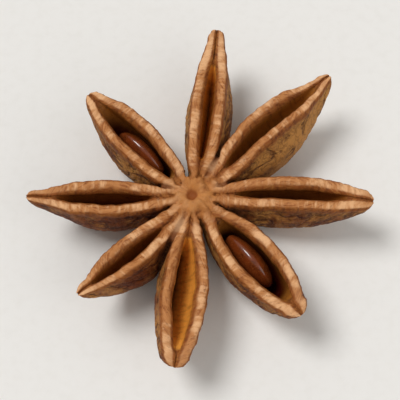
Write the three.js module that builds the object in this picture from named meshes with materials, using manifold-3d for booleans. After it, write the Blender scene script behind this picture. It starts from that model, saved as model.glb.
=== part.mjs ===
// A dried star anise pod, lying with its open seams up: eight woody follicles joined round one short
// column. Each follicle is a boat-shaped case that has split along its upper seam, and the ones that
// gape widest show the seed that lies inside.
//
// Millimetres, +Z up. The pod rests on z = 0 on the small worn flats of its keels. The origin is on
// that surface, under the middle of the pod's outline.

import * as THREE from "three";
import { LoftGeometry } from "three/addons/geometries/LoftGeometry.js";
import { mergeVertices } from "three/addons/utils/BufferGeometryUtils.js";
import Module from "manifold-3d";

// ---- Driving dimensions ----

const BREADTH = 5.2; // across a full-grown follicle at its widest
const WALL = 0.8; // thickness of the woody case
const KEEL_WALL = 1.0; // thickness of the case under the seed
const LIP = 1.3; // width of one lip of the seam, seen from above
const LIP_ROUND = 0.55; // how far a lip rounds down to its outer side
const LIP_CREST = 0.6; // the crest's place across a lip, from 0 at the slit to 1 at the skin
const LIP_FACE = 1.7; // how far an open lip falls towards the slit, as a share of LIP_ROUND
const SHUT_LIP_FACE = 0.25; // the same where the seam has stayed shut
const LIP_ROUND_MOST = 0.45; // the most that a narrow lip rounds down, as a share of its width
const CLOSED_END_LIP = 0.3; // the same at a low end of an arm, as a share of the end's height
const CLOSED_END_GROOVE = 0.15; // the deepest groove there, as a share of the end's height
const SEAM_GROOVE = 0.16; // width of the seam where it has stayed shut
const SEAM_GROOVE_DEPTH = 0.3;

const CROWN_HEIGHT = 6.5; // the seams' height where they meet at the column
const SHEER = 0.9; // how much higher the seams lie out along the arms
const BEAK_HEIGHT = 6.5; // underside of a beak above the deepest point of its keel
const ROOT_RISE = 2.3; // underside of the arms at the column, above the keels' deepest point
const KEEL_FLAT = 0.12; // depth worn off each keel where it touches the ground

const COLUMN_RADIUS = 2.9; // below, where the arms' sides grow out of it
const CROWN_RADIUS = 2.1; // at the top, between the seams
const COLUMN_SHOULDER = 1.3; // height of the slopes above and below the column's sides
const STALK_RADIUS = 1.05;
const STALK_HEIGHT = 0.9; // the broken end of the stalk above the ground
const STALK_EDGE = 0.25; // how far the stalk's broken end slopes back at its rim
const STALK_BREAK = 0.8; // the flat of that end, as a share of the stalk's radius

// The top of the column, as rings from its edge to the middle of its dimple: radius as a share of
// CROWN_RADIUS, and height above the seams that run into it.
const CROWN_RINGS = [
  [1, -0.4],
  [0.75, -0.05],
  [0.42, 0.25],
  [0.2, 0.15],
  [0, -0.05],
];

const SEED = { length: 6.6, height: 4.5, thickness: 2.3, taper: 0.2 };
const SEED_CLEARANCE = 0.6; // between a seed and the floor of its case

// ---- Shares of an arm's length, from 0 at the pod's axis to 1 at the tip ----

const ROOT = 0.03;
const DEEPEST = 0.46;
const WIDEST = 0.52;
const BEAK = 0.97;
const HOOK_START = 0.86;
const TIP_ROUND_START = 0.94;
const TIP = 0.998;
const SEED_PLACE = 0.5;
const SHEER_RUN = [0.1, 0.7]; // between which the seam climbs by SHEER
const LEAN_RUN = [0.1, 0.55]; // between which an arm tips over to its lean

// Shares of the slit, from each of its ends, over which the solid arm turns into a hollow case.
const HOLLOW_RAMPS = { inner: 0.17, outer: 0.2 };

// ---- Powers that shape the curves: above 1 they start slowly, below 1 they start fast ----

const KEEL_SWEEP = { outward: 2.3, inward: 2 };
const HOOK_SWEEP = 2;
const OPENING = 0.7;
const HULL_ROUNDING = 1.8;

// ---- The forms that a section can have ----

// bilge is the level at which it is widest, a share of its height from 0 at the bottom to 1 at the
// lips. curve is the power by which its width grows up to there: a low one is round, a high one a vee.
const CASE = { bilge: 0.6, curve: 0.6 };
const CAVITY = { bilge: 0.5, curve: 0.6 }; // round the seed that fills it
const EMPTY_CAVITY = { bilge: 0.7, curve: 1.3 };

// ---- Fineness of the faceted shapes ----

const BODY_STATIONS = 15;
const TIP_STATIONS = 4;
const CASE_STEPS = 6;
const CASE_CROWDING = 1.5; // the power that draws the steps together towards the keel
const LIP_STEPS = 4;
const CAVITY_STEPS = 5;
const CAVITY_CROWDING = 1.6; // the same, towards the cavity's floor
const COLUMN_SIDES = 24;
const SEED_SIDES = 14;
const SEED_RINGS = 9;
const WELD = 1e-4; // points closer together than this are one

// The eight arms, anticlockwise from the right as seen from above. bearing is in degrees. breadth is a
// share of BREADTH. slit holds the shares of the arm between which its seam is open, gape is how wide
// it opens, undercut how far the cavity widens under the lips and hollow how deep it goes, as shares
// of what the wall would allow. skew is how far to the left of the middle the cavity is deepest. beak
// is the width of the blunt tip, and taper is higher for an arm that narrows to it sooner. lean is the
// angle by which the arm tips over to its left, bow how far its middle swings to its left, and hook how
// far its beak turns up. seed is the size of the seed that shows in it, a share of SEED.
const ARMS = [
  {
    bearing: -3, reach: 17.7, breadth: 0.97, slit: [0.22, 0.88], gape: 0.95,
    undercut: 0.35, hollow: 0.75, beak: 2.1, taper: 1.2, lean: 0, bow: 0.6, hook: 0.2,
  },
  {
    bearing: 39, reach: 19.1, breadth: 1.1, slit: [0.22, 0.93], gape: 1.5,
    undercut: 0.2, hollow: 0.75, beak: 1.4, taper: 1.3, lean: 17, bow: 0.45, hook: 0.9,
  },
  {
    bearing: 82, reach: 18.6, breadth: 0.98, slit: [0.2, 0.82], gape: 0.95, skew: 0.25,
    undercut: 0.3, hollow: 0.55, beak: 1.8, taper: 1.7, lean: 3, bow: -0.2, hook: 0.7,
  },
  {
    bearing: 135.5, reach: 15.4, breadth: 1.02, slit: [0.19, 0.92], gape: 1.8,
    undercut: 0.85, hollow: 1, beak: 1.9, taper: 1.1, lean: -2, bow: 0, hook: 0.3, seed: 1,
  },
  {
    bearing: 181, reach: 16.6, breadth: 0.92, slit: [0.24, 0.84], gape: 1.0,
    undercut: 0.35, hollow: 0.75, beak: 1.3, taper: 1.6, lean: 3, bow: 0.1, hook: 0.5,
  },
  {
    bearing: 225, reach: 15.2, breadth: 0.8, slit: [0.3, 0.91], gape: 0.9,
    undercut: 0.3, hollow: 0.75, beak: 1.4, taper: 1.3, lean: -6, bow: 0.45, hook: 0.3,
  },
  {
    bearing: 261.5, reach: 17.5, breadth: 0.94, slit: [0.22, 0.93], gape: 1.8, skew: -0.55,
    undercut: 0.05, hollow: 0.6, beak: 2.5, taper: 0.85, lean: 12, bow: -0.1, hook: 0.1,
  },
  {
    bearing: 310, reach: 16.1, breadth: 1.08, slit: [0.2, 0.91], gape: 2.4,
    undercut: 0.7, hollow: 1, beak: 2.3, taper: 0.85, lean: -3, bow: 0.25, hook: 0.2, seed: 1.04,
  },
];

// ---- Curves along an arm ----

const { clamp, degToRad, lerp, smoothstep } = THREE.MathUtils;

// Half the width of the case: it swells from the root to the widest section, then narrows to the
// blunt beak.
function caseHalfWidth(arm, t) {
  const full = (BREADTH / 2) * arm.breadth;
  if (t < WIDEST) return full * Math.sin(((t / WIDEST) * Math.PI) / 2);
  const outward = Math.min((t - WIDEST) / (BEAK - WIDEST), 1);
  return lerp(arm.beak / 2, full, Math.cos((outward * Math.PI) / 2) ** arm.taper);
}

// 1 along most of the arm, closing in a quarter ellipse to 0 at the very tip.
function tipRounding(t) {
  const share = clamp((t - TIP_ROUND_START) / (1 - TIP_ROUND_START), 0, 1);
  return Math.sqrt(1 - share * share);
}

function slitShare(arm, t) {
  const [start, end] = arm.slit;
  return clamp((t - start) / (end - start), 0, 1);
}

// 1 where the case is hollow, 0 where it is solid towards the root and the tip.
function hollowness(arm, t) {
  const share = slitShare(arm, t);
  return smoothstep(share, 0, HOLLOW_RAMPS.inner) * smoothstep(1 - share, 0, HOLLOW_RAMPS.outer);
}

function keelHeight(t) {
  const outward = Math.max(t - DEEPEST, 0) / (1 - DEEPEST);
  const inward = Math.max(DEEPEST - t, 0) / DEEPEST;
  return BEAK_HEIGHT * outward ** KEEL_SWEEP.outward + ROOT_RISE * inward ** KEEL_SWEEP.inward;
}

function seamHeight(arm, t) {
  const hooked = Math.max(t - HOOK_START, 0) / (1 - HOOK_START);
  return CROWN_HEIGHT + SHEER * smoothstep(t, ...SHEER_RUN) + arm.hook * hooked ** HOOK_SWEEP;
}

// ---- One arm ----

// Half the width of a boat-shaped hollow or case at a share of its height: narrow at the keel,
// widest at the bilge, and drawn in above that to the lip.
function hullHalfWidth({ bilge, curve }, widest, lipEdge, share) {
  if (share < bilge) return widest * (1 - (1 - share / bilge) ** HULL_ROUNDING) ** curve;
  return lerp(widest, lipEdge, smoothstep(share, bilge, 1));
}

// The named sizes of the section at a share t of the arm.
function sectionSizes(arm, t) {
  const hollow = hollowness(arm, t);
  const closing = tipRounding(t);
  const halfWidth = caseHalfWidth(arm, t) * closing;
  const openness = Math.sin(Math.PI * slitShare(arm, t)) ** OPENING;
  const gap = Math.min(SEAM_GROOVE / 2 + (arm.gape / 2) * openness, halfWidth / 2);
  const lipWidth = Math.min(LIP, halfWidth - gap);
  const middle = (seamHeight(arm, t) + keelHeight(t)) / 2;
  const keel = lerp(middle, keelHeight(t), closing);
  const top = lerp(middle, seamHeight(arm, t), closing);
  const lipRound = Math.min(LIP_ROUND, lipWidth * LIP_ROUND_MOST, (top - keel) * CLOSED_END_LIP);
  const seamEdge = top - lipRound * lerp(SHUT_LIP_FACE, LIP_FACE, openness);
  const deepest = Math.max(seamEdge - keel - KEEL_WALL, 0) * arm.hollow;
  const groove = Math.min(SEAM_GROOVE_DEPTH, (top - keel) * CLOSED_END_GROOVE);
  const roomiest = Math.max(halfWidth - WALL, gap);
  return {
    keel,
    top,
    lipFoot: top - lipRound,
    seamEdge,
    halfWidth,
    gap,
    lipEdge: gap + lipWidth,
    cavityHalfWidth: lerp(gap, roomiest, hollow * arm.undercut),
    cavity: arm.seed ? CAVITY : EMPTY_CAVITY,
    skew: hollow * (arm.skew ?? 0),
    floor: seamEdge - lerp(groove, deepest, hollow),
  };
}

// The left half of the section with side 1, and the right half with side -1, as [y, z] points: up the
// case from the keel, over the lip and down the inner wall to the floor of the cavity.
function halfOutline(s, side) {
  const points = [];
  for (let i = 0; i < CASE_STEPS; i++) {
    const share = (i / CASE_STEPS) ** CASE_CROWDING;
    points.push([
      side * hullHalfWidth(CASE, s.halfWidth, s.lipEdge, share),
      lerp(s.keel, s.lipFoot, share),
    ]);
  }
  const crest = lerp(s.gap, s.lipEdge, LIP_CREST);
  for (let i = 0; i <= LIP_STEPS; i++) {
    const angle = (Math.PI * i) / LIP_STEPS;
    const outer = angle < Math.PI / 2;
    const y = crest + (outer ? s.lipEdge - crest : crest - s.gap) * Math.cos(angle);
    points.push([side * y, lerp(outer ? s.lipFoot : s.seamEdge, s.top, Math.sin(angle))]);
  }
  for (let i = 1; i <= CAVITY_STEPS; i++) {
    const share = (1 - i / CAVITY_STEPS) ** CAVITY_CROWDING;
    const y = side * hullHalfWidth(s.cavity, s.cavityHalfWidth, s.gap, share);
    points.push([y + s.skew * (1 - share), lerp(s.floor, s.seamEdge, share)]);
  }
  return points;
}

// A point of an arm's straight, upright form, moved to where the arm's bow and lean carry it.
function settle(arm, t, y, z) {
  const angle = degToRad(arm.lean) * smoothstep(t, ...LEAN_RUN);
  const pivot = CROWN_HEIGHT / 2;
  const leaned = new THREE.Vector2(y, z - pivot).rotateAround(new THREE.Vector2(), -angle);
  return new THREE.Vector3(arm.reach * t, leaned.x + arm.bow * Math.sin(Math.PI * t), leaned.y + pivot);
}

function section(arm, t) {
  const sizes = sectionSizes(arm, t);
  const left = halfOutline(sizes, 1);
  const right = halfOutline(sizes, -1).slice(1, -1).reverse();
  return [...left, ...right].map(([y, z]) => settle(arm, t, y, z));
}

// Shares of the arm at which it has a section: evenly along the body, closer together round the tip.
function stations() {
  const shares = [];
  for (let i = 0; i < BODY_STATIONS; i++) {
    shares.push(lerp(ROOT, TIP_ROUND_START, i / (BODY_STATIONS - 1)));
  }
  for (let i = 1; i <= TIP_STATIONS; i++) {
    const angle = ((i / TIP_STATIONS) * Math.PI) / 2;
    shares.push(lerp(TIP_ROUND_START, TIP, Math.sin(angle)));
  }
  return shares;
}

function sections(arm) {
  return stations().map((t) => section(arm, t));
}

// Turns a shape built along +X to its arm's bearing, and lets it down until the arm's keel is just
// under the ground, where it is worn flat.
function place(geometry, arm) {
  const lowest = Math.min(...sections(arm).flat().map((point) => point.z));
  return geometry.translate(0, 0, -KEEL_FLAT - lowest).rotateZ(degToRad(arm.bearing));
}

function armGeometry(arm) {
  return place(new LoftGeometry(sections(arm), { capStart: true, capEnd: true }), arm);
}

// ---- The column and the broken stalk ----

function columnGeometry() {
  const profile = [
    [0, STALK_HEIGHT],
    [STALK_RADIUS * STALK_BREAK, STALK_HEIGHT],
    [STALK_RADIUS, STALK_HEIGHT + STALK_EDGE],
    [STALK_RADIUS, ROOT_RISE],
    [COLUMN_RADIUS, ROOT_RISE + COLUMN_SHOULDER],
    [COLUMN_RADIUS, CROWN_HEIGHT - COLUMN_SHOULDER],
    ...CROWN_RINGS.map(([share, rise]) => [CROWN_RADIUS * share, CROWN_HEIGHT + rise]),
  ].map(([radius, height]) => new THREE.Vector2(radius, height));
  return new THREE.LatheGeometry(profile, COLUMN_SIDES).rotateX(Math.PI / 2);
}

// ---- A seed ----

// A flattened egg, narrower towards the column, on its edge as it lies between the walls of its case.
function seedGeometry(arm) {
  const geometry = new THREE.SphereGeometry(0.5, SEED_SIDES, SEED_RINGS).rotateZ(Math.PI / 2);
  const points = geometry.getAttribute("position");
  const middle = sectionSizes(arm, SEED_PLACE).floor + SEED_CLEARANCE + (SEED.height * arm.seed) / 2;
  for (let i = 0; i < points.count; i++) {
    const along = points.getX(i);
    const size = arm.seed * (1 + SEED.taper * along);
    const t = SEED_PLACE + (along * SEED.length * arm.seed) / arm.reach;
    const y = points.getY(i) * SEED.thickness * size;
    const z = middle + points.getZ(i) * SEED.height * size;
    points.setXYZ(i, ...settle(arm, t, y, z));
  }
  geometry.computeVertexNormals();
  return place(geometry, arm);
}

// ---- Joining and cutting ----

const wasm = await Module();
wasm.setup();

function toSolid(geometry) {
  const bare = new THREE.BufferGeometry();
  bare.setAttribute("position", geometry.getAttribute("position")).setIndex(geometry.index);
  const merged = mergeVertices(bare, WELD);
  return new wasm.Manifold(
    new wasm.Mesh({
      numProp: 3,
      vertProperties: merged.getAttribute("position").array,
      triVerts: new Uint32Array(merged.index.array),
    }),
  );
}

function toGeometry(solid) {
  const { vertProperties, triVerts } = solid.getMesh();
  const geometry = new THREE.BufferGeometry()
    .setAttribute("position", new THREE.BufferAttribute(vertProperties, 3))
    .setIndex(new THREE.BufferAttribute(triVerts, 1));
  geometry.computeVertexNormals();
  return geometry;
}

// The ground, as a block to cut the keels' worn flats with.
function groundSolid() {
  const depth = CROWN_HEIGHT;
  const across = 4 * Math.max(...ARMS.map((arm) => arm.reach));
  return toSolid(new THREE.BoxGeometry(across, across, depth).translate(0, 0, -depth / 2));
}

// ---- The pod ----

const husk = new THREE.MeshStandardMaterial({ color: 0x7b4b28, roughness: 0.78, metalness: 0 });
const seedCoat = new THREE.MeshStandardMaterial({ color: 0x6e2f10, roughness: 0.25, metalness: 0 });

function podMesh() {
  let solid = toSolid(columnGeometry());
  for (const arm of ARMS) solid = solid.add(toSolid(armGeometry(arm)));
  const mesh = new THREE.Mesh(toGeometry(solid.subtract(groundSolid())), husk);
  mesh.name = "pod";
  return mesh;
}

function seedMesh(arm, i) {
  const mesh = new THREE.Mesh(seedGeometry(arm), seedCoat);
  mesh.name = `seed_${i + 1}`;
  return mesh;
}

const pod = podMesh();
const starAnise = new THREE.Group();
starAnise.add(pod, ...ARMS.filter((arm) => arm.seed).map(seedMesh));

// The origin goes under the middle of the pod's outline.
pod.geometry.computeBoundingBox();
const middle = pod.geometry.boundingBox.getCenter(new THREE.Vector3());
starAnise.position.set(-middle.x, -middle.y, 0);

// The part's frame is the outer group's, so that the placing above counts in it.
const part = new THREE.Group();
part.add(starAnise);

export default part;
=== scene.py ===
"""A dried star anise pod on a pale floor: the woody husk, the seeds that show in it, and the stage."""

import math

import bmesh
import bpy
import numpy as np
from bpy.props import FloatProperty, FloatVectorProperty, PointerProperty
from mathutils import Matrix, Vector, kdtree, noise


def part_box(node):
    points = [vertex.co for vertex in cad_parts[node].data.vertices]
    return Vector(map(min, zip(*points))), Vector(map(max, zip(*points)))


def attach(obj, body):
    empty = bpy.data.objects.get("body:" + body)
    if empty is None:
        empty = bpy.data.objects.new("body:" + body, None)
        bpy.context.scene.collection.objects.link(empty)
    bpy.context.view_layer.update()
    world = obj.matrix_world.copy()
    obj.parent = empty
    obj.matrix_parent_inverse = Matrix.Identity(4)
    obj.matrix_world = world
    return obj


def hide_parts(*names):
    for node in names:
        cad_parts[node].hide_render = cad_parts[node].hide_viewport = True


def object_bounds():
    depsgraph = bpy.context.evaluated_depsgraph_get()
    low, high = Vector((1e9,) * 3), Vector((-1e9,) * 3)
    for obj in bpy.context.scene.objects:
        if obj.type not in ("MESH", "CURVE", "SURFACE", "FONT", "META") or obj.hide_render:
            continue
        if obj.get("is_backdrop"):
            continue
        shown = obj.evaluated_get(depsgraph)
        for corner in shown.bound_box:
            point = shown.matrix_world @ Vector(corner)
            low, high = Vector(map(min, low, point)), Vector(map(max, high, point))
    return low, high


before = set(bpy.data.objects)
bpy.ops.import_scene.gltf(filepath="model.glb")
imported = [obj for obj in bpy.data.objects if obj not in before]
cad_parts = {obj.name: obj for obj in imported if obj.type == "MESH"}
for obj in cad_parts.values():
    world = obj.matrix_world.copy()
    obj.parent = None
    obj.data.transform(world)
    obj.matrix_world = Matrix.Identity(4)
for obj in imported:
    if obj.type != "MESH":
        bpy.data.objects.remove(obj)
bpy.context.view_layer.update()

bl_info = {
    "name": "Star Anise Pod",
    "version": (1, 0, 0),
    "blender": (4, 5, 0),
    "location": "3D View > Sidebar > Star Anise",
    "description": "Builds a dried star anise pod with its seeds and a plain stage",
    "category": "Add Mesh",
}

MM = 0.001  # metres in a millimetre; the shapes below are worked out in millimetres

# ---- The shape of the husk ----

SEAM_GROOVE = 0.16  # width of the seam where it has stayed shut
SEAM_GROOVE_DEPTH = 0.14
NARROWEST_SLIT = 0.04  # half of the least that a wavering slit narrows to
CROWN_HEIGHT = 6.5  # the seams' height where they meet at the column
SHEER = 0.9  # how much higher the seams lie out along the arms
BEAK_HEIGHT = 6.5  # underside of a beak above the deepest point of its keel
ROOT_RISE = 2.3  # underside of the arms at the column, above the keels' deepest point
KEEL_FLAT = 0.12  # depth worn off each keel where it touches the ground
LIP_ROUND = 0.55  # how far a lip rounds down to its outer side
LIP_CREST = 0.6  # the crest's place across a lip, from 0 at the slit to 1 at the skin
LIP_FACE = 1.7  # how far an open lip falls towards the slit, as a share of LIP_ROUND
SHUT_LIP_FACE = 0.25  # the same where the seam has stayed shut
LIP_ROUND_MOST = 0.45  # the most that a narrow lip rounds down, as a share of its width
CLOSED_END_LIP = 0.3  # the same at a low end of an arm, as a share of the end's height
CLOSED_END_GROOVE = 0.15  # the deepest groove there, as a share of the end's height
KEEL_WALL = 1.0  # thickness of the case under the seed

# The column from the middle of the stalk's broken end to its shoulder under the crown, and then its
# crown down into the dimple, as pairs of radius and height. The crown's heights are above CROWN_HEIGHT.
COLUMN_PROFILE = [
    (0, 0.9), (0.5, 0.96), (0.8, 0.92), (1.05, 1.15), (1.05, 2.3), (1.9, 3.0), (2.9, 3.6), (2.9, 5.2),
]
CROWN_PROFILE = [
    (2.5, -0.8), (2.1, -0.4), (1.85, -0.2), (1.54, -0.05), (1.25, 0.1),
    (0.88, 0.25), (0.62, 0.23), (0.44, 0.15), (0.2, -0.02), (0, -0.05),
]
COLUMN_SIDES = 72
PIT_X = -0.25  # the dimple lies a little to the left of the crown's middle
PIT_DEPTH = 0.6
KNOB_HEIGHT = 0.5  # of the crown's knobs, its fine ribs, and the swelling round its dimple
RIB_HEIGHT = 0.28
SWELL_HEIGHT = 0.3
SWELL_RADIUS = 1.35
SWELL_BREADTH = 0.5
RELIEF_DEPTH = 1.5  # how far under CROWN_HEIGHT this relief ends
VALLEY_DEPTH = 0.22  # of the creases where arms meet

# Distances from the pod's axis between which each of these fades out, except for the crown's knobs and
# ribs, which set in there.
CORE_REACH = (2.0, 4.4)  # the arms' roots, which are eased into the column
KNOB_REACH = (1.3, 2.6)  # the crown
TINT_REACH = (1.2, 3.4)  # its colour
PIT_REACH = (0.15, 0.95)  # its dimple
KNOBS_START = (0.3, 1.0)
RIBS_START = (0.6, 1.2)
STUB_REACH = (1.1, 1.5)  # the broken end of the stalk
STUB_HEIGHTS = (1.5, 2.2)  # heights between which that fades out
TOP_HEIGHTS = (3.5, 5.0)  # heights between which the column's sides turn into its crown

# How far each round draws points, or the marks they carry, towards their neighbours' middle, and how
# many rounds there are.
ROOT_EASING = (0.5, 9)  # the points at the arms' roots
CROWN_EASING = (0.7, 16)  # the points of the crown
MARK_EASING = (0.6, 12)  # the marks at the arms' roots
SINK_EASING = (0.6, 6)  # the wrinkles there
VALLEY_EASING = (0.5, 5)  # the valleys between arms, as their mark spreads out
VALLEY_GAIN = 1.9  # what brings that mark back up to 1 afterwards
WRINKLES_LOST = 0.6  # share of the wrinkles that is smoothed away at the column

# Shares of an arm's length, from 0 at the pod's axis to 1 at the tip.
ROOT = 0.03
DEEPEST = 0.46
WIDEST = 0.52
BEAK = 0.97
HOOK_START = 0.86
TIP_ROUND_START = 0.94
TIP = 0.998
SEED_PLACE = 0.5
SHEER_RUN = (0.1, 0.7)  # between which the seam climbs by SHEER
LEAN_RUN = (0.1, 0.55)  # between which an arm tips over to its lean
WAVER_START = (0.08, 0.25)  # between which the lips' wavering sets in
WAVER_END = (0.9, 0.99)  # between which it dies away
PALER_BEAK = (0.78, 0.97)  # between which the lips' crests turn paler towards the tip
TIP_WOOD = (0.88, 1.0)  # between which the skin gives way to bare wood
LOWEST_RUN = (0.3, 0.6)  # between which an arm's lowest point lies

# How the lips waver: how fast their edges and their tops wander along the arm, and how far their outer
# edges and their tops do so, as shares of how far the slit does.
EDGE_PACE = 0.45
TOP_PACE = 0.6
OUTER_WAVER = 0.6
TOP_WAVER = 0.8

# Shares of the slit, from each of its ends, over which the solid arm turns into a hollow case.
INNER_RAMP = 0.17
OUTER_RAMP = 0.2

# Powers that shape the curves: above 1 they start slowly, below 1 they start fast.
KEEL_SWEEP_OUTWARD = 2.3
KEEL_SWEEP_INWARD = 2
HOOK_SWEEP = 2
OPENING = 0.7
HULL_ROUNDING = 1.8

# The forms that a section can have: the level of its bilge, where it is widest, from 0 at the bottom
# to 1 at the lips, and the power by which its width grows up to there.
CASE = (0.6, 0.6)
CAVITY = (0.5, 0.6)  # round the seed that fills it
EMPTY_CAVITY = (0.7, 1.3)

# The arms, anticlockwise from the right as seen from above. Lengths are in millimetres and angles in
# degrees. breadth is a share of a full-grown follicle's, slit the shares of the arm's length between
# which its seam is open, gape how wide it is open, and beak how wide the tip is, with taper the power by
# which the arm narrows to it. undercut is how far the cavity widens under the lips and hollow how deep
# it goes, from 0 to 1, and skew how far to its left the cavity is deepest. bow and hook are how far the
# arm swerves to its left and its tip turns up, seed is the size of the seed that shows, pale how much paler
# the skin is, partly from bleaching and partly as painted light on flanks that look lit, and golden how
# golden the lining is, partly its own tone and partly as painted light on walls that look lit, from 0 to 1.
ARMS = [
    dict(bearing=-3, reach=17.7, breadth=0.97, slit=(0.22, 0.88), gape=0.95, undercut=0.35,
         hollow=0.75, beak=2.1, taper=1.2, lean=0, bow=0.6, hook=0.2, skew=0, seed=0,
         pale=0.3, golden=0.1),
    dict(bearing=39, reach=19.1, breadth=1.1, slit=(0.22, 0.93), gape=1.5, undercut=0.2,
         hollow=0.75, beak=1.4, taper=1.3, lean=17, bow=0.45, hook=0.9, skew=0, seed=0,
         pale=1, golden=0.3),
    dict(bearing=82, reach=18.6, breadth=0.98, slit=(0.2, 0.82), gape=0.95, undercut=0.3,
         hollow=0.55, beak=1.8, taper=1.7, lean=3, bow=-0.2, hook=0.7, skew=0.25, seed=0,
         pale=0.7, golden=1),
    dict(bearing=135.5, reach=15.4, breadth=1.02, slit=(0.19, 0.92), gape=1.8, undercut=0.85,
         hollow=1, beak=1.9, taper=1.1, lean=-2, bow=0, hook=0.3, skew=0, seed=1,
         pale=0.4, golden=0.2),
    dict(bearing=181, reach=16.6, breadth=0.92, slit=(0.24, 0.84), gape=1.0, undercut=0.35,
         hollow=0.75, beak=1.3, taper=1.6, lean=3, bow=0.1, hook=0.5, skew=0, seed=0,
         pale=0, golden=0),
    dict(bearing=225, reach=15.2, breadth=0.8, slit=(0.3, 0.91), gape=0.9, undercut=0.3,
         hollow=0.75, beak=1.4, taper=1.3, lean=-6, bow=0.45, hook=0.3, skew=0, seed=0,
         pale=0.1, golden=0.1),
    dict(bearing=261.5, reach=17.5, breadth=0.94, slit=(0.22, 0.93), gape=1.8, undercut=0.05,
         hollow=0.6, beak=2.5, taper=0.85, lean=12, bow=-0.1, hook=0.1, skew=-0.55, seed=0,
         pale=0.3, golden=1),
    dict(bearing=310, reach=16.1, breadth=1.08, slit=(0.2, 0.91), gape=2.4, undercut=0.7,
         hollow=1, beak=2.3, taper=0.85, lean=-3, bow=0.25, hook=0.2, skew=0, seed=1.04,
         pale=0.3, golden=0.3),
]

STATIONS = 108  # sections along an arm
TIP_STATIONS = 14
CASE_STEPS = 20  # points up one side of a section, over its lip, and down inside
LIP_STEPS = 9
CAVITY_STEPS = 13
CASE_CROWDING = 1.5  # the power that draws the steps together towards the keel
CAVITY_CROWDING = 1.6  # the same, towards the cavity's floor
SEED_SIDES = 56
SEED_RINGS = 44
FOLD_SEED = 1  # of the noise that bends the skin's folds, which Blender would seed from the clock

SEED_TAPER = 0.2  # how much a seed broadens from its narrow end to its round one, as a share
SEED_RIDGE = 0.05  # height of the ridge along its upper edge, as a share of its half height
RIDGE_SHARPNESS = 24
SCAR_DEPTH = 0.05  # of the dent at its narrow end, as a share of its length
SCAR_REACH = 0.05  # how far from that end the dent dies away, as a share of its length

# How far these places count as lip in the mesh's marks, where the crest of a lip is 1.
LIP_EDGE_MARK = 0.6
TIP_MARK = 0.5
CROWN_MARK = 0.8
LIP_FADE = (0.1, 0.8)  # depths in the case between which the lips' wood turns into its lining
DEPTH_MARKED = (0.2, 5.0)  # depths between which the mark for depth goes from 0 to 1

LANE = 31.7  # sets the noise on one arm apart from that on the next

# ---- The stage ----

FLOOR_REACH = 900  # from the middle of the floor to its edges
FLOOR_DROP = 0.02  # between the floor and the pod's flats, so that they don't coincide
WORLD_COLOUR = (1, 0.985, 0.96, 1)
WORLD_STRENGTH = 0.36
# Each lamp's name, the direction it shines from, how many degrees it spans in the sky, and strength.
LAMPS = [
    ("key", (-0.5, 0.2, 1.0), 26, 1.82),
    ("fill", (0.9, -0.7, 0.8), 60, 0.66),
]
NEAREST_SEEN = 0.005  # metres from the camera
FARTHEST_SEEN = 5


def tint(code):
    """The linear colour of a hexadecimal screen colour."""
    parts = [int(code[i : i + 2], 16) / 255 for i in (0, 2, 4)]
    return tuple(p / 12.92 if p < 0.04045 else ((p + 0.055) / 1.055) ** 2.4 for p in parts)


class HuskSettings(bpy.types.PropertyGroup):
    breadth: FloatProperty(
        name="Breadth", description="Across a full-grown follicle at its widest",
        default=5.2 * MM, unit="LENGTH", precision=5)
    wall: FloatProperty(
        name="Wall", description="Thickness of the woody case",
        default=0.8 * MM, unit="LENGTH", precision=5)
    lip: FloatProperty(
        name="Lip", description="Width of one lip of the seam",
        default=1.3 * MM, unit="LENGTH", precision=5)
    wrinkle: FloatProperty(
        name="Wrinkle depth", description="How deep the skin's wrinkles go",
        default=0.25 * MM, unit="LENGTH", precision=5)
    waver: FloatProperty(
        name="Lip waver", description="How far the lips wander from an even curve",
        default=0.18 * MM, unit="LENGTH", precision=5)
    skin: FloatVectorProperty(
        name="Skin", description="The outer skin of the cases",
        default=tint("85441a"), subtype="COLOR", min=0, max=1)
    # Partly painted light: this paler skin is also laid on the flanks that look lit.
    weathered: FloatVectorProperty(
        name="Weathered skin", description="Where the skin has rubbed pale",
        default=tint("cc9048"), subtype="COLOR", min=0, max=1)
    # Partly painted shade: this colour is the skin's darker mottling, and also the shade painted into its
    # wrinkles and where the arms meet.
    dark_tone_and_shade: FloatVectorProperty(
        name="Furrow", description="The skin down in its wrinkles",
        default=tint("401504"), subtype="COLOR", min=0, max=1)
    # Partly painted light: the lips take this colour along their crests and the rim's darker colour towards
    # their edges, as painted highlight and shade as well as the wood's own tones. The rim colour also
    # paints the shade in the crown's dimple.
    lips: FloatVectorProperty(
        name="Lips", description="The crests of the seams' woody lips",
        default=tint("c0804a"), subtype="COLOR", min=0, max=1)
    rim: FloatVectorProperty(
        name="Rim", description="The edges of the lips, towards the skin and the lining",
        default=tint("8e4c1c"), subtype="COLOR", min=0, max=1)
    # Partly painted highlight: the palest patches along the lips' crests, as well as real wear.
    wear_and_highlight: FloatVectorProperty(
        name="Worn lips", description="Where the lips' crests are palest",
        default=tint("efba88"), subtype="COLOR", min=0, max=1)
    crown: FloatVectorProperty(
        name="Crown", description="The top of the column",
        default=tint("c98646"), subtype="COLOR", min=0, max=1)
    lining: FloatVectorProperty(
        name="Lining", description="The smooth inside of the case near the lips",
        default=tint("8e4e1c"), subtype="COLOR", min=0, max=1)
    # Partly painted light: the lining takes this colour on the arms whose inner walls look lit, and it is
    # also the lining's own golden tone.
    gold: FloatVectorProperty(
        name="Golden lining", description="The same where it has kept its shine",
        default=tint("e39a3e"), subtype="COLOR", min=0, max=1)
    # Painted shade: the lining darkens to this colour deeper in the case, and this colour also tints its
    # darker patches.
    hollow: FloatVectorProperty(
        name="Hollow", description="The inside of the case deep down",
        default=tint("3c0800"), subtype="COLOR", min=0, max=1)


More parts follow.
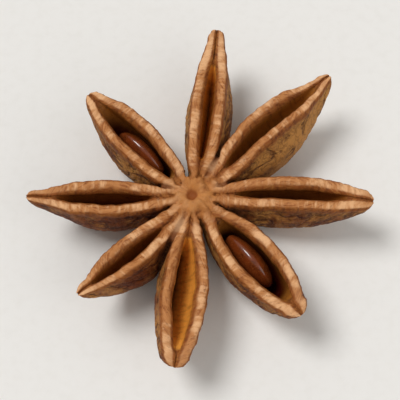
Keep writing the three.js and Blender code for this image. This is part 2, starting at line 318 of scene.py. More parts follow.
class SeedSettings(bpy.types.PropertyGroup):
    length: FloatProperty(
        name="Length", description="From the scar to the round end",
        default=6.6 * MM, unit="LENGTH", precision=5)
    height: FloatProperty(
        name="Height", description="Across the seed as it stands on edge",
        default=4.5 * MM, unit="LENGTH", precision=5)
    thickness: FloatProperty(
        name="Thickness", description="Between the seed's flat sides",
        default=2.3 * MM, unit="LENGTH", precision=5)
    clearance: FloatProperty(
        name="Clearance", description="Between the seed and the floor of its case",
        default=0.6 * MM, unit="LENGTH", precision=5)
    coat: FloatVectorProperty(
        name="Coat", description="The seed's glossy coat",
        default=tint("6e2f10"), subtype="COLOR", min=0, max=1)
    clouds: FloatVectorProperty(
        name="Clouds", description="Faint darker clouds in the coat",
        default=tint("3a1206"), subtype="COLOR", min=0, max=1)
    flecks: FloatVectorProperty(
        name="Flecks", description="Faint paler flecks in the coat",
        default=tint("a9622e"), subtype="COLOR", min=0, max=1)
    scar: FloatVectorProperty(
        name="Scar", description="The dull scar where the seed was held",
        default=tint("b98a5c"), subtype="COLOR", min=0, max=1)


class StageSettings(bpy.types.PropertyGroup):
    azimuth: FloatProperty(
        name="Azimuth", description="Camera's angle round the pod from the front, in degrees",
        default=0.0)
    elevation: FloatProperty(
        name="Elevation", description="Camera's angle above the floor, in degrees", default=68.0)
    lens: FloatProperty(
        name="Lens", description="Focal length in millimetres", default=90.0)
    fill: FloatProperty(
        name="Fill", description="Share of the picture's width that the pod takes",
        default=0.84, subtype="FACTOR", min=0.1, max=1)
    floor: FloatVectorProperty(
        name="Floor", description="The floor's colour",
        default=tint("ebe9e5"), subtype="COLOR", min=0, max=1)
    grain: FloatVectorProperty(
        name="Floor grain", description="Faint darker grain in the floor",
        default=tint("e0ddd7"), subtype="COLOR", min=0, max=1)


# ---- Curves along an arm, for arrays of shares t ----


def smooth(x, low, high):
    """Goes smoothly from 0 at low to 1 at high."""
    share = np.clip((x - low) / (high - low), 0, 1)
    return share * share * (3 - 2 * share)


def mix(a, b, share):
    return a + (b - a) * share


def case_half_width(arm, full, t):
    """It swells from the root to the widest section, then narrows to the blunt beak."""
    rise = np.sin(np.clip(t / WIDEST, 0, 1) * math.pi / 2)
    outward = np.clip((t - WIDEST) / (BEAK - WIDEST), 0, 1)
    fall = np.cos(outward * math.pi / 2).clip(0) ** arm["taper"]
    return np.where(t < WIDEST, full * rise, mix(arm["beak"] / 2, full, fall))


def tip_rounding(t):
    """1 along most of the arm, closing in a quarter ellipse to 0 at the very tip."""
    share = np.clip((t - TIP_ROUND_START) / (1 - TIP_ROUND_START), 0, 1)
    return np.sqrt(1 - share * share)


def slit_share(arm, t):
    start, end = arm["slit"]
    return np.clip((t - start) / (end - start), 0, 1)


def hollowness(arm, t):
    """1 where the case is hollow, 0 where it is solid towards the root and the tip."""
    share = slit_share(arm, t)
    return smooth(share, 0, INNER_RAMP) * smooth(1 - share, 0, OUTER_RAMP)


def keel_height(t):
    outward = np.maximum(t - DEEPEST, 0) / (1 - DEEPEST)
    inward = np.maximum(DEEPEST - t, 0) / DEEPEST
    return BEAK_HEIGHT * outward**KEEL_SWEEP_OUTWARD + ROOT_RISE * inward**KEEL_SWEEP_INWARD


def seam_height(arm, t):
    hooked = np.maximum(t - HOOK_START, 0) / (1 - HOOK_START)
    return CROWN_HEIGHT + SHEER * smooth(t, *SHEER_RUN) + arm["hook"] * hooked**HOOK_SWEEP


def hull_half_width(form, widest, lip_edge, share):
    """Half the width of a boat-shaped hollow or case at a share of its height."""
    bilge, curve = form
    below = 1 - (1 - np.clip(share / bilge, 0, 1)) ** HULL_ROUNDING
    above = mix(widest, lip_edge, smooth(share, bilge, 1))
    return np.where(share < bilge, widest * below**curve, above)


def section_sizes(arm, settings, t):
    """The named sizes of the section at each share t of the arm."""
    hollow = hollowness(arm, t)
    closing = tip_rounding(t)
    half_width = case_half_width(arm, settings.breadth / MM / 2 * arm["breadth"], t) * closing
    openness = np.sin(math.pi * slit_share(arm, t)).clip(0) ** OPENING
    gap = np.minimum(SEAM_GROOVE / 2 + arm["gape"] / 2 * openness, half_width / 2)
    lip_width = np.minimum(settings.lip / MM, half_width - gap)
    middle = (seam_height(arm, t) + keel_height(t)) / 2
    keel = mix(middle, keel_height(t), closing)
    top = mix(middle, seam_height(arm, t), closing)
    lip_round = np.minimum(LIP_ROUND, lip_width * LIP_ROUND_MOST)
    lip_round = np.minimum(lip_round, (top - keel) * CLOSED_END_LIP)
    seam_edge = top - lip_round * mix(SHUT_LIP_FACE, LIP_FACE, openness)
    deepest = np.maximum(seam_edge - keel - KEEL_WALL, 0) * arm["hollow"]
    groove = np.minimum(SEAM_GROOVE_DEPTH, (top - keel) * CLOSED_END_GROOVE)
    roomiest = np.maximum(half_width - settings.wall / MM, gap)
    return dict(
        keel=keel, top=top, lip_foot=top - lip_round, seam_edge=seam_edge,
        half_width=half_width, gap=gap, lip_edge=gap + lip_width,
        cavity_half_width=mix(gap, roomiest, hollow * arm["undercut"]),
        floor=seam_edge - mix(groove, deepest, hollow),
        hollow=hollow, openness=openness,
    )


def waver(x, index, side, pace):
    """An even, repeatable wandering of about -1 to 1 along one side of an arm."""
    place = Vector((x * pace, 7.3 * index + 1.7, 3.1 * side))
    return noise.noise(place) + 0.5 * noise.noise(place * 2.3)


def half_outline(arm, index, side, settings, t):
    """Half of each section, from the keel over the lip to the cavity's floor: arrays of y, z and marks.
    side is 1 for the left half and 2 for the right one, which is returned as a left half too."""
    sizes = {name: values[:, None] for name, values in section_sizes(arm, settings, t).items()}
    wander = np.array([waver(x * arm["reach"], index, side, EDGE_PACE) for x in t])
    lift = np.array([waver(x * arm["reach"], index, side + 4, TOP_PACE) for x in t])
    near_middle = smooth(t, *WAVER_START) * (1 - smooth(t, *WAVER_END))
    wander = (wander * settings.waver / MM * near_middle)[:, None]
    lift = (lift * settings.waver / MM * near_middle)[:, None]
    gap = np.maximum(sizes["gap"] + wander * np.minimum(sizes["openness"], 1), NARROWEST_SLIT)
    lip_edge = sizes["lip_edge"] + wander * OUTER_WAVER
    top = sizes["top"] + lift * TOP_WAVER
    ys, zs, marks = [], [], []

    share = ((np.arange(CASE_STEPS) / CASE_STEPS) ** CASE_CROWDING)[None, :]
    ys.append(hull_half_width(CASE, sizes["half_width"], lip_edge, share))
    zs.append(mix(sizes["keel"], sizes["lip_foot"], share))
    at_tip = TIP_MARK * smooth(t, *TIP_WOOD)[:, None]
    lip_mark = np.maximum(smooth(share, 0.86, 1.0) * LIP_EDGE_MARK, at_tip)
    marks.append(np.stack([lip_mark, 0 * lip_mark, 0 * lip_mark], -1))

    angle = (math.pi * np.arange(LIP_STEPS + 1) / LIP_STEPS)[None, :]
    outer = angle < math.pi / 2
    crest = mix(gap, lip_edge, LIP_CREST)
    foot = np.where(outer, sizes["lip_foot"], sizes["seam_edge"])
    ys.append(crest + np.where(outer, lip_edge - crest, crest - gap) * np.cos(angle))
    zs.append(mix(foot, top, np.sin(angle)))
    ones = 1 + 0 * ys[-1]
    # The mark peaks at the lip's top, which the material paints paler, partly as highlight.
    lip_mark = ones * mix(LIP_EDGE_MARK, 1, smooth(np.sin(angle), 0.5, 1.0))
    marks.append(np.stack([lip_mark, ones * smooth(-np.cos(angle), 0.7, 1.0) * 0.5, 0 * ones], -1))

    share = ((1 - np.arange(1, CAVITY_STEPS + 1) / CAVITY_STEPS) ** CAVITY_CROWDING)[None, :]
    cavity = CAVITY if arm["seed"] else EMPTY_CAVITY
    skew = arm["skew"] if side == 1 else -arm["skew"]
    half_width = hull_half_width(cavity, sizes["cavity_half_width"], gap, share)
    ys.append(half_width + skew * sizes["hollow"] * (1 - share))
    zs.append(mix(sizes["floor"], sizes["seam_edge"], share))
    depth = (sizes["seam_edge"] - zs[-1]).clip(0)
    lip_mark = LIP_EDGE_MARK * (1 - smooth(depth, *LIP_FADE))
    within = 0.2 + 0.8 * np.minimum(sizes["hollow"] * 3, 1) + 0 * depth
    marks.append(np.stack([lip_mark, within, smooth(depth, *DEPTH_MARKED)], -1))

    return np.concatenate(ys, 1), np.concatenate(zs, 1), np.concatenate(marks, 1)


def settle(arm, t, y, z):
    """Points of an arm's straight, upright form, moved to where the arm's bow and lean carry them."""
    angle = math.radians(-arm["lean"]) * smooth(t, *LEAN_RUN)
    pivot = CROWN_HEIGHT / 2
    x = arm["reach"] * t + 0 * y
    across = y * np.cos(angle) - (z - pivot) * np.sin(angle)
    up = y * np.sin(angle) + (z - pivot) * np.cos(angle)
    return np.stack([x, across + arm["bow"] * np.sin(math.pi * t), up + pivot], -1)


def stations():
    body = mix(ROOT, TIP_ROUND_START, np.linspace(0, 1, STATIONS - TIP_STATIONS))
    angle = np.arange(1, TIP_STATIONS + 1) / TIP_STATIONS * math.pi / 2
    return np.concatenate([body, mix(TIP_ROUND_START, TIP, np.sin(angle))])


def turned(points, bearing):
    turn = np.array(Matrix.Rotation(math.radians(bearing), 3, "Z"))
    return points @ turn.T


def arm_drop(arm, settings):
    """How far the arm is let down for its keel to be worn flat where it meets the floor."""
    t = np.linspace(*LOWEST_RUN, 61)
    s = section_sizes(arm, settings, t)
    share = ((np.arange(6) / 6) ** CASE_CROWDING)[None, :]
    y = hull_half_width(CASE, s["half_width"][:, None], s["lip_edge"][:, None], share)
    z = mix(s["keel"][:, None], s["lip_foot"][:, None], share)
    both = np.concatenate([settle(arm, t[:, None], y, z), settle(arm, t[:, None], -y, z)])
    return -KEEL_FLAT - both[..., 2].min()


def arm_shape(arm, index, settings):
    """Points, faces and marks of one arm as a closed loft. The marks are lip, inside, depth, the place
    along and round the arm in millimetres, and the arm's number."""
    t = stations()
    left_y, left_z, left_marks = half_outline(arm, index, 1, settings, t)
    right_y, right_z, right_marks = half_outline(arm, index, 2, settings, t)
    y = np.concatenate([left_y, -right_y[:, -2:0:-1]], 1)
    z = np.concatenate([left_z, right_z[:, -2:0:-1]], 1)
    y[:, 0] = 0
    y[:, left_y.shape[1] - 1] = arm["skew"] * hollowness(arm, t)
    marks = np.concatenate([left_marks, right_marks[:, -2:0:-1]], 1)
    points = settle(arm, t[:, None], y, z)
    steps = np.hypot(np.diff(left_y, axis=1), np.diff(left_z, axis=1))
    run = np.concatenate([np.zeros((len(t), 1)), np.cumsum(steps, 1)], 1)
    around = np.concatenate([run, -run[:, -2:0:-1]], 1)
    along = points[..., 0]
    points = turned(points, arm["bearing"]) + [0, 0, arm_drop(arm, settings)]

    rings, count = y.shape
    ring, place = np.meshgrid(np.arange(rings - 1), np.arange(count), indexing="ij")
    after = (place + 1) % count
    here, onward = ring * count, (ring + 1) * count
    quads = np.stack([here + place, here + after, onward + after, onward + place], -1)
    faces = [tuple(quad) for quad in quads.reshape(-1, 4).tolist()]
    faces.append(tuple(range(count))[::-1])
    faces.append(tuple(range((rings - 1) * count, rings * count)))
    rows = np.concatenate([marks, along[..., None], around[..., None]], -1)
    rows = np.concatenate([rows, np.full(rows.shape[:2] + (1,), float(index))], -1)
    return points.reshape(-1, 3), faces, rows.reshape(-1, 6)


def ring_faces(rings, sides):
    """The faces between rings of points, which lie between a first and a last point at the ends."""

    def ring(k, i):
        return 1 + k * sides + i % sides

    faces = []
    for i in range(sides):
        faces.append((0, ring(0, i + 1), ring(0, i)))
        faces.append((ring(rings - 1, i), ring(rings - 1, i + 1), 1 + rings * sides))
        for k in range(rings - 1):
            faces.append((ring(k, i), ring(k, i + 1), ring(k + 1, i + 1), ring(k + 1, i)))
    return faces


def column_shape():
    """Points and faces of the column and the broken end of the stalk, turned on a lathe."""
    profile = COLUMN_PROFILE + [(radius, CROWN_HEIGHT + rise) for radius, rise in CROWN_PROFILE]
    points = [(0, 0, profile[0][1])]
    for radius, height in profile[1:-1]:
        for i in range(COLUMN_SIDES):
            angle = 2 * math.pi * i / COLUMN_SIDES
            points.append((radius * math.cos(angle), radius * math.sin(angle), height))
    points.append((0, 0, profile[-1][1]))
    return np.array(points, float), ring_faces(len(profile) - 2, COLUMN_SIDES)


# ---- Meshes ----


def new_object(name, points, faces):
    mesh = bpy.data.meshes.new(name)
    mesh.from_pydata((np.asarray(points) * MM).tolist(), [], faces)
    mesh.validate()
    mesh.polygons.foreach_set("use_smooth", [True] * len(mesh.polygons))
    piece = bpy.data.objects.new(name, mesh)
    bpy.context.scene.collection.objects.link(piece)
    return piece


def vectors(mesh, kind):
    """The points' places, kind co, or their normals, kind normal."""
    flat = np.empty(len(mesh.vertices) * 3)
    mesh.vertices.foreach_get(kind, flat)
    return flat.reshape(-1, 3)


def edge_ends(mesh):
    """The numbers of the points at the two ends of each edge, as two arrays."""
    flat = np.empty(len(mesh.edges) * 2, np.int64)
    mesh.edges.foreach_get("vertices", flat)
    return flat.reshape(-1, 2).T


def move_to(mesh, points):
    mesh.vertices.foreach_set("co", np.asarray(points, float).ravel())
    mesh.update()


def store(mesh, name, values):
    """Keeps one number for each point of the mesh, for its material to read."""
    layer = mesh.attributes.new(name, "FLOAT", "POINT")
    layer.data.foreach_set("value", np.asarray(values, np.float32).ravel())


def united(pieces, name):
    """One closed mesh round all the pieces, which are used up."""
    base, *others = pieces
    group = bpy.data.collections.new("to unite")
    for other in others:
        group.objects.link(other)
    join = base.modifiers.new("Union", "BOOLEAN")
    join.operation = "UNION"
    join.operand_type = "COLLECTION"
    join.collection = group
    join.solver = "MANIFOLD"
    graph = bpy.context.evaluated_depsgraph_get()
    mesh = bpy.data.meshes.new_from_object(base.evaluated_get(graph))
    if len(mesh.polygons) < sum(len(p.data.polygons) for p in pieces) / 2:
        raise RuntimeError("the arms didn't unite with the column")
    for piece in pieces:
        bpy.data.objects.remove(piece)
    bpy.data.collections.remove(group)
    cut_up(mesh)
    mesh.name = name
    mesh.materials.clear()
    mesh.polygons.foreach_set("use_smooth", [True] * len(mesh.polygons))
    result = bpy.data.objects.new(name, mesh)
    bpy.context.scene.collection.objects.link(result)
    return result


def cut_up(mesh):
    """Splits the many-sided faces along a union's seams into triangles, and makes sure it is closed."""
    net = bmesh.new()
    net.from_mesh(mesh)
    bmesh.ops.dissolve_verts(net, verts=[v for v in net.verts if len(v.link_edges) == 2])
    bmesh.ops.triangulate(net, faces=[face for face in net.faces if len(face.verts) > 4])
    if any(len(edge.link_faces) != 2 for edge in net.edges):
        raise RuntimeError("the united mesh isn't closed")
    net.to_mesh(mesh)
    net.free()


def relaxed(mesh, points, easing, share):
    """The points after each has been drawn towards its neighbours' middle, by its share of the easing."""
    weight, rounds = easing
    pull = (weight * share)[:, None]
    a, b = edge_ends(mesh)
    count = np.bincount(a, minlength=len(points)) + np.bincount(b, minlength=len(points))
    for _ in range(rounds):
        total = np.zeros_like(points)
        np.add.at(total, a, points[b])
        np.add.at(total, b, points[a])
        points = points + (total / count[:, None].clip(1) - points) * pull
    return points


def creases(place):
    """Sharp valleys between rounded folds, 0 to 1, deepest at 1."""
    value = 0.0
    size = 1.0
    for _ in range(3):
        value += size * (1 - min(1, abs(noise.noise(place)) * 3.2)) ** 2
        place = place * 2.1 + Vector((3.7, 1.3, 9.1))
        size *= 0.55
    return value / 1.85


def wrinkle_depth(along, around, index, inside, lip):
    """How far a point of the husk sinks, as a share of the wrinkle depth. Each noise is stretched along
    or round the arm: folds, dents and grain in the skin, grooves and checks in a lip's wood."""
    lane = LANE * index
    skin = Vector((along * 0.42, around * 0.62, lane))
    fold = creases(skin + 0.5 * noise.noise_vector(skin * 1.3))
    dent = noise.noise(Vector((along * 0.25, around * 0.3, lane + 5)))
    grain = noise.noise(Vector((along * 2.6, around * 1.1, lane + 11)))
    outer = 0.9 * fold + 0.5 * dent + 0.12 * grain
    groove = noise.noise(Vector((along * 0.45, around * 2.6, lane + 13)))
    check = noise.noise(Vector((along * 1.7, around * 0.7, lane + 17)))
    rim = 0.35 * groove + 0.28 * check + 0.12 * grain
    inner = 0.12 * noise.noise(Vector((along * 1.6, around * 0.4, lane + 23)))
    value = outer + (rim - outer) * lip
    return value + (inner - value) * inside


def crown_relief(points):
    """How far the column's top sinks at each point, in millimetres: knobs, fine ribs that run out from
    the middle, and a pit there with a swelling round it."""
    x, y = points[:, 0] - PIT_X, points[:, 1]
    radius = np.hypot(x, y)
    knobs = np.array([noise.noise(Vector(p) * 1.1) + 0.5 * noise.noise(Vector(p) * 2.6) for p in points])
    ribs = np.array([
        noise.noise(Vector((5 * math.cos(angle), 5 * math.sin(angle), 0.5 * out)))
        for angle, out in zip(np.arctan2(y, x), radius)
    ])
    pit = PIT_DEPTH * (1 - smooth(radius, *PIT_REACH))
    swell = SWELL_HEIGHT * np.exp(-((radius - SWELL_RADIUS) / SWELL_BREADTH) ** 2)
    knobs = KNOB_HEIGHT * knobs * smooth(radius, *KNOBS_START)
    ribs = RIB_HEIGHT * ribs * smooth(radius, *RIBS_START)
    return (knobs + ribs + pit - swell) * (points[:, 2] > CROWN_HEIGHT - RELIEF_DEPTH)


def nearest_rows(points, arm_points, arm_rows):
    """For each point, the marks of the nearest one on the arms as they were before the union."""
    tree = kdtree.KDTree(len(arm_points))
    for i, point in enumerate(arm_points):
        tree.insert(point, i)
    tree.balance()
    return arm_rows[[tree.find(point)[1] for point in points]]


def build_husk(settings):
    """The husk as one closed mesh with its marks, and how far it was shifted to lie over its solid."""
    shapes = [arm_shape(arm, i, settings) for i, arm in enumerate(ARMS)]
    arm_pieces = [new_object(f"arm_{i}", points, faces) for i, (points, faces, _) in enumerate(shapes)]
    husk = united([new_object("column", *column_shape()), *arm_pieces], "husk")
    mesh = husk.data
    points = vectors(mesh, "co") / MM
    rows = nearest_rows(
        points,
        np.concatenate([points for points, _, _ in shapes]),
        np.concatenate([rows for _, _, rows in shapes]),
    )
    arm_numbers = rows[:, 5].astype(int)

    radius = np.hypot(points[:, 0], points[:, 1])
    core = 1 - smooth(radius, *CORE_REACH)
    knob = 1 - smooth(radius, *KNOB_REACH)
    top = smooth(points[:, 2], *TOP_HEIGHTS)
    stub = (1 - smooth(radius, *STUB_REACH)) * (1 - smooth(points[:, 2], *STUB_HEIGHTS))
    valley = between_arms(mesh, arm_numbers)
    ease = np.maximum(core, valley)
    points = relaxed(mesh, points, ROOT_EASING, ease * (1 - stub))
    points = relaxed(mesh, points, CROWN_EASING, knob * top)
    rows[:, :3] = relaxed(mesh, rows[:, :3], MARK_EASING, ease)
    rows[:, :3] = mix(rows[:, :3], CROWN_MARK * top[:, None] * [1, 0, 0], knob[:, None])
    move_to(mesh, points * MM)

    noise.seed_set(FOLD_SEED)
    sink = np.array([wrinkle_depth(r[3], r[4], r[5], min(r[1] * 2, 1), r[0]) for r in rows])
    sink = relaxed(mesh, sink[:, None], SINK_EASING, ease)[:, 0] * (1 - WRINKLES_LOST * core)
    crown = crown_relief(points) * core
    depth = sink * settings.wrinkle / MM + crown + VALLEY_DEPTH * valley * (1 - knob)
    points = points - vectors(mesh, "normal") * depth[:, None]
    points[:, 2] = points[:, 2].clip(0)
    low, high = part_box("pod")
    middle = (points.min(0) + points.max(0)) / 2
    shift = np.array([(low.x + high.x) / 2, (low.y + high.y) / 2]) / MM - middle[:2]
    points[:, :2] += shift
    move_to(mesh, points * MM)

    for name, values in zip(("lip", "inside", "depth", "along", "around", "arm"), rows.T):
        store(mesh, name, values)
    tinted = 1 - smooth(radius, *TINT_REACH)
    store(mesh, "core", tinted)
    store(mesh, "top", tinted * top)
    store(mesh, "stub", stub)
    # Where the arms meet, which also sets the painted shade in the valleys there.
    store(mesh, "valley", valley * (1 - knob))
    # How far each point sinks, which also sets the painted shade in the wrinkles.
    store(mesh, "sink", np.clip(sink, 0, 1.5))
    # How far the crown sinks, which also sets the painted shade in its dimple.
    store(mesh, "crown", np.clip(crown / PIT_DEPTH, 0, 1) * knob)
    reach = np.array([arm["reach"] for arm in ARMS])[arm_numbers]
    store(mesh, "beak", smooth(rows[:, 3] / reach, *PALER_BEAK))
    for name in ("pale", "golden"):
        values = np.array([[arm[name]] for arm in ARMS])[arm_numbers]
        store(mesh, name, relaxed(mesh, values, MARK_EASING, ease))
    return husk, shift


def between_arms(mesh, arm):
    """1 at the points where one arm's surface meets the next one's, falling to 0 just beside them."""
    a, b = edge_ends(mesh)
    meets = arm[a] != arm[b]
    valley = np.zeros((len(arm), 1))
    valley[a[meets]] = 1
    valley[b[meets]] = 1
    spread = relaxed(mesh, valley, VALLEY_EASING, np.ones(len(arm)))[:, 0]
    return np.clip(spread * VALLEY_GAIN, 0, 1)


def build_seed(name, arm, husk_settings, settings, shift):
    """A flattened egg on its edge, narrower and scarred at the end towards the column."""
    floor = section_sizes(arm, husk_settings, np.array([SEED_PLACE]))["floor"][0]
    size = arm["seed"]
    length, height, thickness = (
        v / MM * size for v in (settings.length, settings.height, settings.thickness)
    )
    middle = floor + settings.clearance / MM + height / 2
    flat = []
    for r in range(SEED_RINGS + 1):
        along = -0.5 * math.cos(math.pi * r / SEED_RINGS)
        radius = math.sqrt(max(0.25 - along * along, 0))
        for k in range(SEED_SIDES if 0 < r < SEED_RINGS else 1):
            angle = 2 * math.pi * k / SEED_SIDES
            egg = 1 + SEED_TAPER * along
            ridge = 1 + SEED_RIDGE * max(0, math.cos(angle)) ** RIDGE_SHARPNESS
            scar = SCAR_DEPTH * math.exp(-((along + 0.5) / SCAR_REACH) ** 2)
            flat.append((
                along + scar, radius * math.sin(angle) * egg, radius * math.cos(angle) * egg * ridge,
            ))
    flat = np.array(flat)
    t = SEED_PLACE + flat[:, 0] * length / arm["reach"]
    points = settle(arm, t, flat[:, 1] * thickness, middle + flat[:, 2] * height)
    points = turned(points, arm["bearing"]) + [0, 0, arm_drop(arm, husk_settings)]
    points[:, :2] += shift
    faces = [(face[0], *face[:0:-1]) for face in ring_faces(SEED_RINGS - 1, SEED_SIDES)]
    seed = new_object(name, points, faces)
    store(seed.data, "from_scar", flat[:, 0] + 0.5)
    store(seed.data, "edge", flat[:, 2])
    store(seed.data, "side", flat[:, 1])
    return seed


# ---- Materials ----


class Field:
    """A node's output that takes part in arithmetic: each operation adds a Math node."""

    def __init__(self, recipe, socket):
        self.recipe = recipe
        self.socket = socket

    def math(self, operation, first, second=0.0):
        node = self.recipe.node("ShaderNodeMath", {"operation": operation}, {0: first, 1: second})
        return Field(self.recipe, node.outputs[0])

    def __add__(self, other):
        return self.math("ADD", self, other)

    __radd__ = __add__

    def __sub__(self, other):
        return self.math("SUBTRACT", self, other)

    def __rsub__(self, other):
        return self.math("SUBTRACT", other, self)

    def __mul__(self, other):
        return self.math("MULTIPLY", self, other)

    __rmul__ = __mul__

    def __abs__(self):
        return self.math("ABSOLUTE", self)


class Recipe:
    """The node tree of one material."""

    def __init__(self, name):
        self.material = bpy.data.materials.new(name)
        self.material.use_nodes = True
        self.tree = self.material.node_tree
        self.tree.nodes.clear()

    def node(self, kind, settings=None, inputs=None):
        """A node of a kind, with its settings made first and then the values or links of its sockets."""
        node = self.tree.nodes.new(kind)
        for name, value in (settings or {}).items():
            setattr(node, name, value)
        for name, value in (inputs or {}).items():
            if isinstance(value, Field):
                self.tree.links.new(value.socket, node.inputs[name])
            elif isinstance(value, bpy.types.NodeSocket):
                self.tree.links.new(value, node.inputs[name])
            else:
                socket = node.inputs[name]
                if socket.type == "RGBA" and len(value) == 3:
                    value = (*value, 1)
                socket.default_value = value
        return node

    def mark(self, name):
        """A number that is kept for each point of the mesh."""
        node = self.node("ShaderNodeAttribute", {"attribute_name": name})
        return Field(self, node.outputs["Fac"])

    def blend(self, a, b, share):
        """Colours a and b mixed by share. Of the node's many sockets, these are the ones for colours."""
        node = self.node(
            "ShaderNodeMix", {"data_type": "RGBA", "clamp_factor": True}, {0: share, 6: a, 7: b}
        )
        return node.outputs[2]

    def span(self, value, low, high, to_low=0.0, to_high=1.0):
        """Goes smoothly from to_low to to_high as the value goes from low to high."""
        node = self.node(
            "ShaderNodeMapRange",
            {"interpolation_type": "SMOOTHSTEP"},
            {0: value, 1: low, 2: high, 3: to_low, 4: to_high},
        )
        return Field(self, node.outputs[0])

    def place(self, x, y, z):
        node = self.node("ShaderNodeCombineXYZ", None, {0: x, 1: y, 2: z})
        return node.outputs[0]

    def clouds(self, place, scale, detail=3.0, roughness=0.55, distortion=0.0):
        node = self.node(
            "ShaderNodeTexNoise", {"noise_dimensions": "3D"},
            {"Vector": place, "Scale": scale, "Detail": detail, "Roughness": roughness,
             "Distortion": distortion},
        )
        return Field(self, node.outputs[0])

    def lines(self, place, scale, width):
        """1 along thin, wandering lines and 0 between them."""
        return self.span(abs(self.clouds(place, scale, 3, 0.5, 0.6) - 0.5), width, 0)

    def finish(self, colour, roughness, height, bump_strength, bump_distance, **constants):
        bump = self.node(
            "ShaderNodeBump", None,
            {"Strength": bump_strength, "Distance": bump_distance, "Height": height},
        )
        surface = self.node(
            "ShaderNodeBsdfPrincipled", None,
            {"Base Color": colour, "Roughness": roughness, "Normal": bump.outputs[0],
             **{name.replace("_", " "): value for name, value in constants.items()}},
        )
        self.node("ShaderNodeOutputMaterial", None, {"Surface": surface.outputs[0]})
        return self.material


def husk_material(settings):
    """Weathered skin, pale fibrous lips and a smooth dark-golden lining, told apart by the mesh's marks,
    with painted shade in the creases, the crown's dimple and deep in the cases, painted highlights on the
    lips' crests, and painted light in part on flanks and walls that look lit.
    """
    r = Recipe("husk")
    lip, inside, depth = r.mark("lip"), r.mark("inside"), r.mark("depth")
    along, around, arm = r.mark("along"), r.mark("around"), r.mark("arm")
    core, valley, sink = r.mark("core"), r.mark("valley"), r.mark("sink")
    top, stub = r.mark("top"), r.mark("stub")
    crown, pale, golden, beak = r.mark("crown"), r.mark("pale"), r.mark("golden"), r.mark("beak")
    lane = arm * LANE
    here = r.node("ShaderNodeTexCoord").outputs["Object"]
    lengthwise = r.place(along * 0.4, around * 2.4, lane)
    crosswise = r.place(along * 2.2, around * 0.5, lane)

    patches = r.clouds(here, 300, 4, 0.6, 0.4)
    mottling = r.clouds(here, 1300, 5, 0.65)
    speckle = r.clouds(here, 6000, 3, 0.6)
    fibres = r.clouds(lengthwise, 1.8, 4, 0.6)
    checks = r.clouds(crosswise, 1.3, 3, 0.55)
    fused = r.span(valley + core, 0.25, 0.9)
    streaks = fibres + (mottling - fibres) * fused
    checks = checks + (patches - checks) * fused
    wrinkles = r.lines(r.place(along * 0.5, around * 0.8, lane), 0.55, 0.05)
    fine_wrinkles = r.lines(here, 1500, 0.06)

    skin = r.blend(settings.dark_tone_and_shade, settings.skin, r.span(mottling + 0.3 * patches, 0.4, 0.75))
    # Partly painted light: the skin is paler in rubbed patches and on the arms whose flanks look lit, as
    # set by each arm's pale.
    bleached_and_lit = r.span(patches + 0.4 * streaks + 0.3 * pale, 0.62, 0.95, 0, 0.8)
    skin = r.blend(skin, settings.weathered, bleached_and_lit)
    # Painted shade: the skin darkens where its wrinkles sink deepest and along the lines of its creases.
    skin = r.blend(skin, settings.dark_tone_and_shade, r.span(sink, 0.35, 1.0, 0, 0.8))
    skin = r.blend(skin, settings.dark_tone_and_shade, 0.6 * wrinkles + 0.35 * fine_wrinkles)

    # Partly painted highlight and shade: the lips are paler along their crests and darker towards their
    # edges, beside the wood's own streaks.
    crest = r.span(lip + 0.3 * (streaks - 0.5), 0.66, 1.0)
    shade = r.blend(settings.rim, settings.weathered, r.span(streaks + 0.4 * speckle, 0.6, 0.9, 0, 0.6))
    shade = r.blend(shade, settings.dark_tone_and_shade, r.span(checks + 0.5 * mottling, 0.66, 0.95, 0, 0.6))
    rim = r.blend(shade, settings.lips, crest)
    rim = r.blend(rim, settings.rim, r.span(streaks + 0.6 * mottling, 0.72, 1.0, 0, 0.85))
    # Palest patches on the crests, partly wear and partly painted highlight.
    rim = r.blend(rim, settings.wear_and_highlight, crest * r.span(patches + 0.6 * checks, 0.72, 0.98, 0, 0.85))
    rim = r.blend(rim, settings.wear_and_highlight, beak * crest * r.span(patches + 0.4 * mottling, 0.5, 0.8, 0.1, 0.5))
    rim = r.blend(rim, settings.dark_tone_and_shade, r.span(speckle + 0.5 * streaks, 0.86, 1.0, 0, 0.5))

    # Partly painted light: golden on the arms whose inner walls look lit, as well as the lining's own tone.
    lining = r.blend(settings.lining, settings.gold, golden)
    # Painted shade, growing with depth in the case.
    lining = r.blend(lining, settings.hollow, r.span(depth, 0.05, 0.85))
    lining = r.blend(lining, settings.hollow, r.span(checks, 0.45, 0.75, 0, 0.4))

    edge = r.span(lip + 0.35 * (mottling - 0.5), 0.2, 0.6)
    colour = r.blend(skin, rim, edge)
    colour = r.blend(colour, settings.crown, top * r.span(mottling + 0.4 * speckle, 0.45, 0.9, 0.9, 0.35))
    # Painted shade: the crown darkens where its relief sinks, most of all in the dimple.
    colour = r.blend(colour, settings.rim, r.span(crown, 0.05, 0.7, 0, 0.95))
    # Painted shade in the valleys where the arms meet.
    colour = r.blend(colour, settings.dark_tone_and_shade, r.span(valley, 0.2, 1.0, 0, 0.5) * (1 - 0.6 * core))
    colour = r.blend(colour, settings.lips, stub * r.span(speckle + 0.4 * mottling, 0.5, 0.9, 0.2, 0.9))
    within = r.span(inside + 0.3 * (speckle - 0.5), 0.35, 0.75)
    colour = r.blend(colour, lining, within)

    bark = (1 - edge) * (1 - within)
    height = (
        0.6 * mottling + 0.3 * speckle + 0.6 * streaks + (1 - within) * 0.5 * checks
        - bark * (0.9 * wrinkles + 0.4 * fine_wrinkles)
    )
    roughness = r.span(within, 0, 1, 0.66, 0.36) + 0.14 * (speckle - 0.5)
    return r.finish(colour, roughness, height, 0.7, 0.18 * MM, IOR=1.45, Specular_IOR_Level=0.3)


